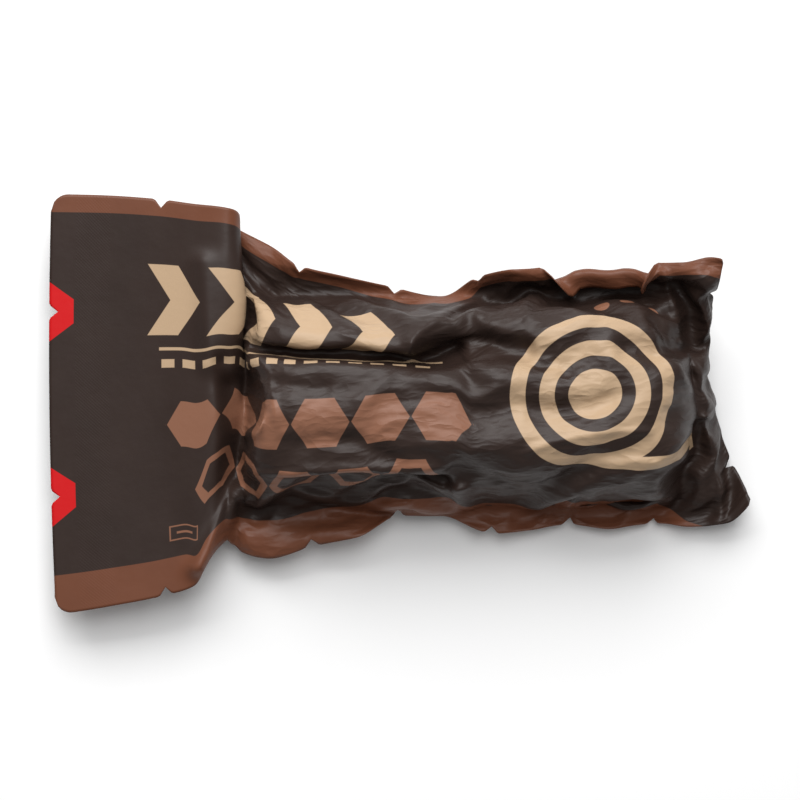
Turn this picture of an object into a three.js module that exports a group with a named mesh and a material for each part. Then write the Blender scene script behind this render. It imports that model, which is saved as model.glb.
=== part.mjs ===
// A rolled compression bandage, vacuum-packed in a pouch of printed laminate film.
// Millimetres, +Z up. The pack lies on its back: +X runs from the flap to the tail, and +Y to the side with
// the narrow printed band. The origin is under the middle of the pack, at the surface that it rests on.
// The film is a stand-in wall: the real laminate is about 0.15 mm thick.
import * as THREE from "three";

// The roll inside, and the two empty ends of the pouch beyond it.
const rollLength = 150;
const rollWidth = 72;
const packHeight = 44;
const flapLength = 65;
const tailLength = 18.7;

// How far the welded fins stand out past the roll's sides, and how loosely the film goes round the roll.
const finReach = 10;
const slack = 4.5;

// The pouch as it was cut, lying flat: long enough to climb over the roll, and wide enough to go round half.
const climb = 28.3;
const filmLength = flapLength + rollLength + tailLength + climb;
const pouchWidth = rollWidth + packHeight + 2 * finReach + slack;
const cornerRadius = 6;
const filmWall = 0.8;
const clearance = 0.3;

// Tear notches: V cuts along all four edges.
const notchWidth = 4.6;
const notchDepth = 3;
const firstNotch = 37;
const sidePitch = 32;
const endPitch = 31;

// Facet sizes: the room round a notch or corner in its cell, a plain step, and a step where the film folds
// down beside the roll.
const cellMargin = 0.9;
const plainStep = 6.9;
const foldStep = 4.4;

// How finely a section is measured, and how far a crease may push its facets apart.
const sectionSamples = 120;
const steepestCrease = 0.5;

// The least height that the roll has at its ends and at its sides.
const rollRim = 5;
const rollEdge = 1;

// One row for each section across the pouch, from the flap's free edge to the tail's. Narrow, middle and wide
// name the two long edges by their printed band, and the line between them.
// film: share of the film's length. x columns count zones: 0 to 1 along the flap, 1 to 2 along the roll and
// 2 to 3 along the tail. y columns: share of half the pouch's width on the flap, and of the roll's half width
// with its fin from there on. z columns: share of the pack's height.
const sectionColumns =
  ["film", "xNarrow", "yNarrow", "zNarrow", "xMiddle", "zMiddle", "xWide", "yWide", "zWide"];
const sectionRows = [
  [0.0, 0.015, 0.99, 0.38, 0.0, 0.34, 0.03, -1.0, 0.34],
  [0.07, 0.29, 0.985, 0.42, 0.28, 0.38, 0.31, -0.985, 0.38],
  [0.141, 0.58, 0.97, 0.48, 0.57, 0.44, 0.59, -0.94, 0.4],
  [0.185, 0.75, 0.955, 0.54, 0.745, 0.5, 0.715, -0.89, 0.4],
  [0.22, 0.88, 0.94, 0.58, 0.88, 0.54, 0.775, -0.845, 0.36],
  [0.238, 0.925, 0.925, 0.56, 0.945, 0.5, 0.79, -0.78, 0.3],
  [0.258, 0.955, 0.875, 0.42, 0.985, 0.4, 0.83, -0.72, 0.22],
  [0.275, 0.99, 0.85, 0.34, 1.004, 0.36, 0.89, -0.68, 0.2],
  [0.3, 1.035, 1.2, 0.36, 1.028, 0.4, 0.97, -0.71, 0.22],
  [0.34, 1.08, 1.08, 0.42, 1.078, 0.5, 1.045, -1.15, 0.24],
  [0.385, 1.12, 1.01, 0.52, 1.133, 0.5, 1.15, -1.07, 0.28],
  [0.445, 1.22, 0.94, 0.5, 1.244, 0.5, 1.245, -1.0, 0.36],
  [0.508, 1.333, 0.87, 0.46, 1.344, 0.5, 1.34, -0.9, 0.42],
  [0.57, 1.433, 0.81, 0.36, 1.456, 0.5, 1.433, -0.89, 0.36],
  [0.63, 1.513, 0.89, 0.44, 1.558, 0.5, 1.549, -0.95, 0.24],
  [0.69, 1.589, 0.99, 0.66, 1.667, 0.5, 1.633, -0.92, 0.22],
  [0.752, 1.658, 0.95, 0.56, 1.767, 0.5, 1.718, -0.91, 0.24],
  [0.81, 1.767, 0.98, 0.6, 1.867, 0.5, 1.807, -0.91, 0.22],
  [0.874, 1.86, 0.98, 0.64, 1.944, 0.5, 1.907, -0.86, 0.24],
  [0.93, 1.956, 1.05, 0.76, 2.14, 0.42, 1.989, -0.89, 0.18],
  [0.97, 2.09, 1.08, 0.84, 2.27, 0.26, 2.57, -0.88, 0.2],
  [1.0, 2.41, 1.08, 0.88, 2.3, 0.12, 3.0, -0.71, 0.3],
];

// The folds that the film keeps over the roll. x counts zones and y is a share of the roll's half width with
// its fin, as above. rise and width are shares of the pack's height, and a rise below 0 is a groove. bow bends
// the line sideways, as a share of its length. A fold with a drop also lets the film down on its wide side.
const foldColumns = ["name", "x0", "y0", "x1", "y1", "bow", "rise", "width", "drop"];
const foldRows = [
  ["middle groove", 0.99, 0.44, 1.375, 0.29, -0.02, -0.2, 0.12, 0],
  ["upper hollow", 1.27, 0.66, 1.5, 0.64, 0.0, -0.16, 0.22, 0],
  ["corner crease", 1.02, 0.98, 1.16, 0.7, 0.0, -0.14, 0.14, 0],
  ["lower tuck", 1.03, -0.52, 1.44, -0.46, 0.03, 0.04, 0.14, -0.2],
  ["lower wrinkle", 1.44, -0.44, 1.64, -0.6, -0.05, -0.1, 0.13, 0],
  ["shoulder ridge", 1.38, 0.4, 1.58, 0.78, 0.0, 0.08, 0.13, 0],
  ["root ridge", 1.05, -0.16, 1.0, -0.7, 0.05, 0.1, 0.14, 0],
  ["tail crease", 1.83, 0.38, 1.98, 0.36, 0.0, -0.1, 0.12, 0],
];

const tableOf = (columns, rows) =>
  rows.map((row) => Object.fromEntries(columns.map((name, k) => [name, row[k]])));
const sections = tableOf(sectionColumns, sectionRows);
const folds = tableOf(foldColumns, foldRows);

// The roll's form: how square its sides and ends are, and how far its top is domed.
const sideSquareness = 4;
const endSquareness = 14;
const crown = 0.08;
const restingShare = 1.32;

const packedLength = flapLength + rollLength + tailLength;
const zoneStarts = [0, flapLength, flapLength + rollLength, packedLength];
const bodyHalf = rollWidth / 2 + finReach;

// Position along the pack, from a number that counts zones.
function along(zone) {
  const index = THREE.MathUtils.clamp(Math.floor(zone), 0, 2);
  return THREE.MathUtils.lerp(zoneStarts[index], zoneStarts[index + 1], zone - index) - packedLength / 2;
}

// Half the width that a share is taken of.
function halfWidth(zone) {
  return zone < 1 ? pouchWidth / 2 : bodyHalf;
}

// The sections as real points, one column of numbers for each coordinate.
const points = sections.map((row) => ({
  film: row.film,
  xNarrow: along(row.xNarrow),
  xMiddle: along(row.xMiddle),
  xWide: along(row.xWide),
  yNarrow: row.yNarrow * halfWidth(row.xNarrow),
  yWide: row.yWide * halfWidth(row.xWide),
  zNarrow: row.zNarrow * packHeight,
  zMiddle: row.zMiddle * packHeight,
  zWide: row.zWide * packHeight,
}));

// Slopes of a curve through the points that never overshoots them.
function slopes(column) {
  const steps = points.slice(1).map((p, i) => (p[column] - points[i][column]) / (p.film - points[i].film));
  return points.map((_, i) => {
    if (i === 0) return steps[0];
    if (i === steps.length) return steps[i - 1];
    const [before, after] = [steps[i - 1], steps[i]];
    return before * after <= 0 ? 0 : (2 * before * after) / (before + after);
  });
}

const columns = Object.keys(points[0]).filter((name) => name !== "film");
const slopeOf = Object.fromEntries(columns.map((name) => [name, slopes(name)]));

// Every column at a share of the film's length.
function sectionAt(share) {
  const film = THREE.MathUtils.clamp(share, 0, 1);
  let i = 0;
  while (i < points.length - 2 && points[i + 1].film < film) i += 1;
  const [a, b] = [points[i], points[i + 1]];
  const h = b.film - a.film;
  const t = (film - a.film) / h;
  const [t2, t3] = [t * t, t * t * t];
  const value = (name) =>
    (2 * t3 - 3 * t2 + 1) * a[name] +
    (t3 - 2 * t2 + t) * h * slopeOf[name][i] +
    (3 * t2 - 2 * t3) * b[name] +
    (t3 - t2) * h * slopeOf[name][i + 1];
  return Object.fromEntries(columns.map((name) => [name, value(name)]));
}

// A parabola through three values at 0, a half and 1.
function through(start, middle, end, q) {
  return start * (1 - q) * (1 - 2 * q) + 4 * middle * q * (1 - q) + end * q * (2 * q - 1);
}

// How much of the roll's half height stands at a point in plan: 1 on its top, and 0 past its sides and ends.
function fullness(x, y) {
  const start = along(1);
  const across = Math.abs((2 * y) / rollWidth);
  const lengthwise = Math.abs((2 * (x - start)) / rollLength - 1);
  return Math.max(0, 1 - across ** sideSquareness) * Math.max(0, 1 - lengthwise ** endSquareness);
}

// What the folds add to the film's height at a point in plan.
function foldHeight(x, y) {
  return folds.reduce((sum, fold) => {
    const from = new THREE.Vector2(along(fold.x0), fold.y0 * bodyHalf);
    const to = new THREE.Vector2(along(fold.x1), fold.y1 * bodyHalf);
    const run = to.clone().sub(from);
    const length = run.length();
    run.divideScalar(length);
    const offset = new THREE.Vector2(x, y).sub(from);
    const share = offset.dot(run) / length;
    const side = run.x * offset.y - run.y * offset.x - 4 * fold.bow * length * share * (1 - share);
    const width = fold.width * packHeight;
    const past = Math.max(0, -share, share - 1) * length;
    const fade = Math.exp(-((past / width) ** 2));
    const ridge = fold.rise * Math.exp(-((side / width) ** 2));
    const step = (fold.drop * (1 - Math.tanh(side / (0.5 * width)))) / 2;
    return sum + fade * (ridge + step) * packHeight;
  }, 0);
}

// The middle of the front film and of the back film at one place in plan across a section.
function pair(section, q) {
  const x = through(section.xWide, section.xMiddle, section.xNarrow, q);
  const y = THREE.MathUtils.lerp(section.yWide, section.yNarrow, q);
  const weld = through(section.zWide, section.zMiddle, section.zNarrow, q);
  const full = fullness(x, y);
  const top = packHeight - filmWall - clearance / 2;
  const bottom = filmWall + clearance / 2;
  const frontTop = top * (1 - crown * Math.abs((2 * y) / rollWidth) ** 2) + foldHeight(x, y);
  return {
    front: new THREE.Vector3(x, y, THREE.MathUtils.lerp(weld, frontTop, full)),
    back: new THREE.Vector3(x, y, THREE.MathUtils.lerp(weld, bottom, Math.min(1, restingShare * full))),
    smooth: THREE.MathUtils.lerp(weld, top, full),
  };
}

// Front and back points for a place on the flat film. Across the pouch, the film keeps its length up the
// roll's sides.
function drape(u, v) {
  const section = sectionAt(u / filmLength);
  const run = [0];
  let last = pair(section, 0);
  for (let k = 1; k <= sectionSamples; k += 1) {
    const next = pair(section, k / sectionSamples);
    const flat = Math.hypot(next.front.x - last.front.x, next.front.y - last.front.y);
    run.push(run[k - 1] + Math.hypot(flat, next.smooth - last.smooth));
    last = next;
  }
  const wanted = (v / pouchWidth) * run[sectionSamples];
  let k = 1;
  while (k < sectionSamples && run[k] < wanted) k += 1;
  const part = (wanted - run[k - 1]) / (run[k] - run[k - 1]);
  return pair(section, THREE.MathUtils.clamp((k - 1 + part) / sectionSamples, 0, 1));
}

// Notch centres along each edge of the flat film. The flap's edge has every second one.
const sideCount = Math.floor((filmLength - 2 * cornerRadius - firstNotch) / sidePitch) + 1;
const endCount = Math.floor((pouchWidth - 2 * cornerRadius) / endPitch);
const longNotches = Array.from({ length: sideCount }, (_, i) => firstNotch + i * sidePitch);
const spread = (count, pitch) =>
  Array.from({ length: count }, (_, i) => pouchWidth / 2 + (i - (count - 1) / 2) * pitch);
const tailNotches = spread(endCount, endPitch);
const flapNotches = spread(Math.floor(endCount / 2), 2 * endPitch);

// Grid lines with one whole cell for every notch and corner, and steps between them up to stepAt long.
function gridLines(length, notches, stepAt) {
  const [side, corner] = [notchWidth / 2 + cellMargin, cornerRadius + cellMargin];
  const centres = [...new Set(notches)].sort((a, b) => a - b);
  const inner = centres.map((c) => [c - side, c + side]);
  const whole = [[0, corner], ...inner, [length - corner, length]];
  return whole.flatMap(([start, end], i) => {
    if (i === whole.length - 1) return [start, end];
    const next = whole[i + 1][0];
    const count = Math.max(1, Math.ceil((next - end) / stepAt((next + end) / 2)));
    return [start, ...Array.from({ length: count }, (_, k) => THREE.MathUtils.lerp(end, next, k / count))];
  });
}

const [rootStart, rootEnd] = [0.16 * filmLength, 0.36 * filmLength];
const stepAlong = (u) => (u > rootStart && u < rootEnd ? foldStep : plainStep);
const uLines = gridLines(filmLength, longNotches, stepAlong);
const vLines = gridLines(pouchWidth, [...flapNotches, ...tailNotches], () => plainStep);

// The cut edge between two corners of an edge cell: the lips and the point of any notch in it.
function cutEdge(start, end) {
  const lengthwise = start[1] === end[1];
  const axis = lengthwise ? 0 : 1;
  const sign = Math.sign(end[axis] - start[axis]);
  const inward = start[1 - axis] === 0 ? 1 : -1;
  const endNotches = start[0] === 0 ? flapNotches : tailNotches;
  const centres = lengthwise ? longNotches : endNotches;
  const inside = centres.filter((c) => (c - start[axis]) * (c - end[axis]) < 0);
  const place = (position, depth) => {
    const edge = start[1 - axis] + inward * depth;
    return lengthwise ? [position, edge] : [edge, position];
  };
  return inside.flatMap((c) => [
    place(c - (sign * notchWidth) / 2, 0),
    place(c, notchDepth),
    place(c + (sign * notchWidth) / 2, 0),
  ]);
}

// A round corner in place of a square one.
function roundCorner([u, v]) {
  const centre = [u === 0 ? cornerRadius : u - cornerRadius, v === 0 ? cornerRadius : v - cornerRadius];
  const out = Math.atan2(v - centre[1], u - centre[0]);
  return [-1, -1 / 3, 1 / 3, 1].map((turn) => {
    const angle = out + (turn * Math.PI) / 4;
    return [centre[0] + cornerRadius * Math.cos(angle), centre[1] + cornerRadius * Math.sin(angle)];
  });
}

// The outline of one grid cell, counter-clockwise on the flat film.
function cellOutline(i, j) {
  const corners = [
    [uLines[i], vLines[j]],
    [uLines[i + 1], vLines[j]],
    [uLines[i + 1], vLines[j + 1]],
    [uLines[i], vLines[j + 1]],
  ];
  const onEnd = (p) => p[0] === 0 || p[0] === uLines.at(-1);
  const onSide = (p) => p[1] === 0 || p[1] === vLines.at(-1);
  return corners.flatMap((corner, k) => {
    const next = corners[(k + 1) % corners.length];
    const along = corner[1] === next[1] ? onSide(corner) : onEnd(corner) && corner[0] === next[0];
    const start = onEnd(corner) && onSide(corner) ? roundCorner(corner) : [corner];
    return along ? [...start, ...cutEdge(corner, next)] : start;
  });
}

// The cut film as flat places and the triangles between them, and the cells that the triangles come from.
const places = [];
const triangles = [];
const known = new Map();

function indexOf([u, v]) {
  const key = `${u.toFixed(4)},${v.toFixed(4)}`;
  if (!known.has(key)) {
    known.set(key, places.length);
    places.push([u, v]);
  }
  return known.get(key);
}

for (let i = 0; i < uLines.length - 1; i += 1) {
  for (let j = 0; j < vLines.length - 1; j += 1) {
    const outline = cellOutline(i, j);
    const indices = outline.map(indexOf);
    const contour = outline.map(([u, v]) => new THREE.Vector2(u, v));
    THREE.ShapeUtils.triangulateShape(contour, []).forEach((face) => {
      triangles.push({ cell: [i, j], corners: face.map((k) => indices[k]) });
    });
  }
}

const draped = places.map(([u, v]) => drape(u, v));
const frontMiddle = draped.map((place) => place.front);
const backMiddle = draped.map((place) => place.back);

// A sheet moved along its own normals, and further at its creases, so that its facets keep their distance.
function lifted(points, distance) {
  const normals = points.map(() => new THREE.Vector3());
  const facets = triangles.map(({ corners }) => {
    const [a, b, c] = corners.map((k) => points[k]);
    const facet = b.clone().sub(a).cross(c.clone().sub(a)).normalize();
    corners.forEach((k, i) => {
      const toNext = points[corners[(i + 1) % 3]].clone().sub(points[k]);
      const toLast = points[corners[(i + 2) % 3]].clone().sub(points[k]);
      normals[k].addScaledVector(facet, toNext.angleTo(toLast));
    });
    return facet;
  });
  normals.forEach((normal) => normal.normalize());
  const stretch = points.map(() => 1);
  triangles.forEach(({ corners }, t) => {
    corners.forEach((k) => {
      stretch[k] = Math.min(stretch[k], facets[t].dot(normals[k]));
    });
  });
  return points.map((p, k) => {
    const reach = distance / Math.max(stretch[k], steepestCrease);
    return p.clone().addScaledVector(normals[k], reach);
  });
}

// One closed solid between an upper and a lower sheet with the same triangles.
function solidBetween(upper, lower, faces) {
  const used = new Map();
  const positions = [];
  const at = (sheet, k) => {
    const key = `${sheet === upper}${k}`;
    if (!used.has(key)) {
      used.set(key, positions.length / 3);
      positions.push(...sheet[k].toArray());
    }
    return used.get(key);
  };
  const edges = new Set(faces.flatMap(([a, b, c]) => [`${a},${b}`, `${b},${c}`, `${c},${a}`]));
  const index = faces.flatMap(([a, b, c]) => [
    ...[a, b, c].map((k) => at(upper, k)),
    ...[c, b, a].map((k) => at(lower, k)),
  ]);
  edges.forEach((edge) => {
    const [a, b] = edge.split(",").map(Number);
    if (edges.has(`${b},${a}`)) return;
    index.push(at(upper, b), at(upper, a), at(lower, a), at(upper, b), at(lower, a), at(lower, b));
  });
  const geometry = new THREE.BufferGeometry();
  geometry.setAttribute("position", new THREE.Float32BufferAttribute(positions, 3));
  geometry.setIndex(index);
  geometry.computeVertexNormals();
  return geometry;
}

// The cells between which the two films stand far enough apart to hold the roll.
const apart = (i, j) => {
  const { front, back } = drape(uLines[i], vLines[j]);
  return front.z - back.z;
};
const middleLine = Math.floor(vLines.length / 2);
const rollColumns = uLines.map((_, i) => i).filter((i) => apart(i, middleLine) > rollRim);
const rollRows = vLines
  .map((_, j) => j)
  .filter((j) => rollColumns.slice(1, -1).every((i) => apart(i, j) > rollEdge));
const inRoll = ([i, j]) =>
  i >= rollColumns[0] && i < rollColumns.at(-1) && j >= rollRows[0] && j < rollRows.at(-1);

const allFaces = triangles.map(({ corners }) => corners);
const rollFaces = triangles.filter(({ cell }) => inRoll(cell)).map(({ corners }) => corners);

const printed = new THREE.MeshStandardMaterial({ color: 0x3b332f, roughness: 0.5, metalness: 0 });
const backing = new THREE.MeshStandardMaterial({ color: 0x37302c, roughness: 0.52, metalness: 0 });
const knit = new THREE.MeshStandardMaterial({ color: 0xcfc4ad, roughness: 0.95, metalness: 0 });

function named(name, geometry, material) {
  const mesh = new THREE.Mesh(geometry, material);
  mesh.name = name;
  return mesh;
}

const innerFace = clearance / 2;
const outerFace = innerFace + filmWall;
const frontFilm = solidBetween(lifted(frontMiddle, outerFace), lifted(frontMiddle, innerFace), allFaces);
const underside = lifted(backMiddle, -outerFace).map((p) => p.setZ(Math.max(p.z, 0)));
const backFilm = solidBetween(lifted(backMiddle, -innerFace), underside, allFaces);
const roll = solidBetween(lifted(frontMiddle, -innerFace), lifted(backMiddle, innerFace), rollFaces);

const pack = new THREE.Group();
pack.add(
  named("front_film", frontFilm, printed),
  named("back_film", backFilm, backing),
  named("bandage_roll", roll, knit),
);

// The origin goes under the middle of the pack.
const centre = new THREE.Box3().setFromObject(pack).getCenter(new THREE.Vector3());
pack.children.forEach((mesh) => mesh.geometry.translate(-centre.x, -centre.y, 0));

export default pack;
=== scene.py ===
"""A rolled compression bandage, vacuum-packed in a pouch of printed laminate film, seen from above.

The film starts as the flat sheet that it was cut from, laid over the roll's form by a table of
sections and tables of folds. A cloth solver then gives it back its flat lengths, so that it buckles
into wrinkles. All sizes are in metres, apart from the print's.
"""
import math

import bpy
import numpy as np
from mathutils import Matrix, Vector


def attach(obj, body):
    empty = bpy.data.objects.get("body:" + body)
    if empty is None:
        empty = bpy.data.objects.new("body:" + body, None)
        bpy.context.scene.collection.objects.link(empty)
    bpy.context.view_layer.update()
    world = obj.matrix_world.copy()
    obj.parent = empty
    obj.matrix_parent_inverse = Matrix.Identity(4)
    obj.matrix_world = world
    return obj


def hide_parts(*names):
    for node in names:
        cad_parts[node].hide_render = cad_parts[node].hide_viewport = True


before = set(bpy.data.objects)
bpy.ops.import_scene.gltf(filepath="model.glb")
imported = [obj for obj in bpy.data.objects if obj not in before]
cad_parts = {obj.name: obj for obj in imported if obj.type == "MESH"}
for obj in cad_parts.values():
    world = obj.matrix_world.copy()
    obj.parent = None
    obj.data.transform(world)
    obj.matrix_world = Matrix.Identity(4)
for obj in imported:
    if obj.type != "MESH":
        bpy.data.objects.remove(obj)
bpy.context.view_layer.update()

MM = 0.001
TINY = 1e-12

# The roll inside, and the two empty ends of the pouch beyond it.
ROLL_LENGTH = 150 * MM
ROLL_WIDTH = 72 * MM
PACK_HEIGHT = 44 * MM
FLAP_LENGTH = 65 * MM
TAIL_LENGTH = 18.7 * MM
FIN_REACH = 10 * MM

# The pouch as it was cut, lying flat.
FILM_LENGTH = 262 * MM
POUCH_WIDTH = 140.5 * MM
CORNER_RADIUS = 6 * MM
TAIL_CORNER_RADIUS = 2.5 * MM
FILM_WALL = 0.16 * MM
WELD_GAP = 0.02 * MM

# How low the middle of a film, of the back film under the roll and of the weld may lie.
FILM_FLOOR = 1.2 * FILM_WALL
BACK_FLOOR = 2 * FILM_WALL
WELD_FLOOR = 3 * FILM_WALL

# Tear notches: V cuts along all four edges.
NOTCH_WIDTH = 4.6 * MM
NOTCH_DEPTH = 3 * MM
LONG_NOTCHES = [(37 + 32 * i) * MM for i in range(7)]
TAIL_NOTCHES = [POUCH_WIDTH / 2 + (i - 1.5) * 31 * MM for i in range(4)]
FLAP_NOTCHES = [POUCH_WIDTH / 2 + side * 31 * MM for side in (-1, 1)]

# Steps of the film's grid: each is a multiple of COARSEST, so that the solver can start on a
# coarse grid. The cut edge's notches and corners move the grid within EDGE_REACH of it.
COARSEST = 8
STEPS_ALONG = 33 * COARSEST
STEPS_ACROSS = 18 * COARSEST
EDGE_REACH = 9 * MM

# One row for each section across the pouch, from the flap's free edge to the tail's. film is a
# share of the film's length. x columns count zones: 0 to 1 along the flap, 1 to 2 along the roll
# and 2 to 3 along the tail. y columns are shares of half the pouch's width where x is below 1, and
# of the roll's half width with its fin from there on. z columns are shares of the pack's height.
SECTION_COLUMNS = (
    "film", "x_narrow", "y_narrow", "z_narrow", "x_middle", "z_middle", "x_wide", "y_wide", "z_wide"
)
SECTIONS = [
    (0.0, 0.015, 0.99, 0.38, 0.0, 0.34, 0.03, -1.0, 0.34),
    (0.07, 0.29, 0.982, 0.42, 0.28, 0.38, 0.31, -0.955, 0.38),
    (0.141, 0.58, 0.96, 0.48, 0.57, 0.44, 0.6, -0.9, 0.4),
    (0.185, 0.75, 0.935, 0.54, 0.745, 0.5, 0.745, -0.855, 0.4),
    (0.22, 0.885, 0.912, 0.6, 0.88, 0.54, 0.805, -0.76, 0.36),
    (0.238, 0.93, 0.9, 0.56, 0.945, 0.5, 0.84, -0.705, 0.3),
    (0.258, 0.955, 0.87, 0.46, 0.982, 0.4, 0.885, -0.662, 0.19),
    (0.275, 0.918, 0.855, 0.32, 0.995, 0.34, 0.935, -0.668, 0.17),
    (0.3, 0.968, 0.825, 0.32, 1.025, 0.4, 0.985, -0.705, 0.2),
    (0.34, 1.065, 1.12, 0.42, 1.078, 0.5, 1.05, -1.125, 0.24),
    (0.385, 1.12, 0.99, 0.52, 1.133, 0.5, 1.15, -1.025, 0.28),
    (0.445, 1.22, 0.91, 0.5, 1.244, 0.5, 1.245, -0.965, 0.36),
    (0.508, 1.333, 0.84, 0.46, 1.344, 0.5, 1.34, -0.81, 0.42),
    (0.57, 1.433, 0.785, 0.36, 1.456, 0.5, 1.433, -0.805, 0.36),
    (0.63, 1.513, 0.91, 0.44, 1.558, 0.5, 1.549, -0.945, 0.24),
    (0.69, 1.589, 0.955, 0.66, 1.667, 0.5, 1.633, -0.92, 0.22),
    (0.752, 1.658, 0.97, 0.58, 1.767, 0.5, 1.718, -0.88, 0.24),
    (0.776, 1.701, 1.11, 0.6, 1.805, 0.5, 1.753, -0.89, 0.23),
    (0.81, 1.767, 1.11, 0.62, 1.867, 0.5, 1.807, -0.91, 0.22),
    (0.852, 1.838, 1.09, 0.65, 1.92, 0.5, 1.872, -0.88, 0.23),
    (0.89, 1.884, 1.0, 0.68, 1.98, 0.48, 1.93, -0.865, 0.23),
    (0.93, 1.956, 1.0, 0.76, 2.14, 0.42, 1.989, -0.89, 0.18),
    (0.97, 2.06, 1.03, 0.84, 2.27, 0.26, 2.57, -0.87, 0.2),
    (1.0, 2.32, 1.015, 0.88, 2.3, 0.12, 3.0, -0.71, 0.3),
]

# The folds that the film keeps over the roll. x counts zones, and y is a share of the roll's half
# width with its fin. rise and width are shares of the pack's height, and a rise below 0 is a
# groove. bow bends the line sideways, as a share of its length. A drop lets the film down on the
# fold's wide side, over STEP_SHARE of its width.
STEP_SHARE = 0.5
FOLD_COLUMNS = ("x0", "y0", "x1", "y1", "bow", "rise", "width", "drop")
FOLDS = {
    "middle groove": (1.03, 0.42, 1.47, 0.34, -0.02, -0.3, 0.05, 0),
    "upper lobe": (1.0, 0.58, 1.38, 0.44, -0.02, 0.05, 0.12, 0),
    "upper hollow": (1.27, 0.66, 1.5, 0.64, 0.0, -0.16, 0.2, 0),
    "corner crease": (1.02, 0.98, 1.16, 0.7, 0.0, -0.16, 0.08, 0),
    "lower tuck": (1.03, -0.52, 1.44, -0.46, 0.03, 0.04, 0.045, -0.24),
    "lower wrinkle": (1.44, -0.44, 1.64, -0.6, -0.05, -0.12, 0.09, 0),
    "shoulder ridge": (1.38, 0.4, 1.58, 0.78, 0.0, 0.1, 0.08, 0),
    "root ridge": (1.05, -0.16, 1.0, -0.7, 0.05, 0.07, 0.1, 0),
    "tail crease": (1.83, 0.38, 1.98, 0.36, 0.0, -0.1, 0.08, 0),
    "root fold": (1.012, 0.406, 1.052, -0.188, 0.08, 0.09, 0.055, 0),
    "upper crease": (1.047, 0.884, 1.18, 0.536, 0.05, -0.06, 0.05, 0),
    "steep crease": (1.189, 0.826, 1.283, 0.493, -0.06, -0.045, 0.05, 0),
    "start crease": (1.038, 0.246, 1.189, 0.101, -0.08, -0.05, 0.045, 0),
    "long crease": (1.105, -0.246, 1.345, -0.333, 0.06, -0.05, 0.05, 0),
    "hump": (1.372, -0.522, 1.483, -0.623, -0.08, 0.1, 0.06, 0),
    "hump hollow": (1.354, -0.623, 1.447, -0.681, 0.1, -0.1, 0.06, 0),
    "dark fold": (1.56, -0.522, 1.612, -0.739, 0.1, -0.09, 0.05, 0),
    "lobe crease": (1.098, -0.58, 1.114, -0.87, 0.0, -0.08, 0.045, 0),
    "hollow ridge": (1.376, 0.478, 1.549, 0.79, 0.06, 0.09, 0.06, 0),
    "top ridge": (1.523, 0.529, 1.745, 0.58, -0.12, 0.06, 0.07, 0),
    "end ridge": (1.829, 0.899, 2.012, 0.058, -0.09, 0.08, 0.06, 0),
    "end crease": (1.878, 0.768, 1.976, 0.188, -0.09, -0.06, 0.05, 0),
    "valley end": (1.4, 0.36, 1.612, 0.38, 0.02, -0.16, 0.07, 0),
    "root pocket": (1.012, 1.1, 1.04, 0.84, 0.0, -0.2, 0.07, 0),
    "side crease": (1.629, -0.014, 1.789, 0.058, -0.05, -0.05, 0.05, 0),
    "slant crease": (1.7, -0.464, 1.878, -0.174, -0.06, -0.05, 0.055, 0),
    "slant ridge": (1.789, -0.645, 1.958, -0.246, 0.05, 0.05, 0.055, 0),
}

# The folds that the two welded films share: the gutters beside the roll, the fins, the flap and
# the tail.
WELD_FOLDS = {
    "upper gutter": (1.08, 0.8, 1.93, 0.8, 0.0, -0.17, 0.11, 0),
    "lower gutter": (1.03, -0.8, 1.93, -0.8, 0.0, -0.17, 0.11, 0),
    "flap pleat": (0.8, 1.0, 0.84, 0.3, 0.0, 0.05, 0.08, 0),
    "flap valley": (0.9, 0.3, 0.97, 0.05, 0.0, -0.06, 0.08, 0),
    "flap ridge": (0.78, -1.17, 1.03, -0.25, -0.036, 0.13, 0.08, 0),
    "root valley": (0.935, 0.15, 0.965, -0.5, 0.0, -0.12, 0.07, 0),
    "level fin": (1.53, 0.93, 1.66, 0.93, 0.0, 0.1, 0.08, 0),
    "tail corner": (1.92, 0.86, 2.5, 0.86, 0.0, 0.12, 0.12, 0),
    "tail hollow": (1.949, 0.84, 1.993, 0.406, 0.0, -0.16, 0.08, 0),
    "tail slant": (1.963, 0.768, 2.18, 0.514, 0.0, 0.06, 0.07, 0),
    "tail gap": (2.093, -0.138, 1.956, -0.68, 0.0, -0.14, 0.07, 0),
    "tail ridge": (2.146, -0.1, 2.414, -0.826, 0.05, 0.1, 0.05, 0),
}

# Narrow folds that are pressed into the film last of all.
PRESSED_FOLDS = {
    "upper end edge": (1.914, 0.928, 1.958, 0.442, 0.06, 0.035, 0.03, 0),
    "middle end edge": (1.958, 0.442, 2.2, -0.014, 0.05, 0.03, 0.03, 0),
    "lower end edge": (2.16, -0.1, 1.95, -0.7, -0.06, 0.03, 0.03, 0),
    "shoulder line": (1.37, 0.47, 1.545, 0.783, 0.05, 0.03, 0.03, 0),
    "tuck line": (1.03, -0.5, 1.44, -0.44, 0.03, 0.02, 0.03, 0),
    "root line": (1.03, 0.37, 1.08, -0.15, 0.06, 0.018, 0.028, 0),
    "low fold": (1.1, -0.6, 1.36, -0.73, -0.06, 0.045, 0.035, 0),
    "low groove": (1.1, -0.66, 1.34, -0.8, -0.06, -0.05, 0.035, 0),
    "hump line": (1.36, -0.49, 1.5, -0.6, -0.1, 0.03, 0.028, 0),
    "end slant": (1.62, -0.33, 1.88, -0.2, 0.06, 0.025, 0.03, 0),
    "low slant": (1.66, -0.5, 1.9, -0.42, 0.06, 0.025, 0.03, 0),
}

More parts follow.
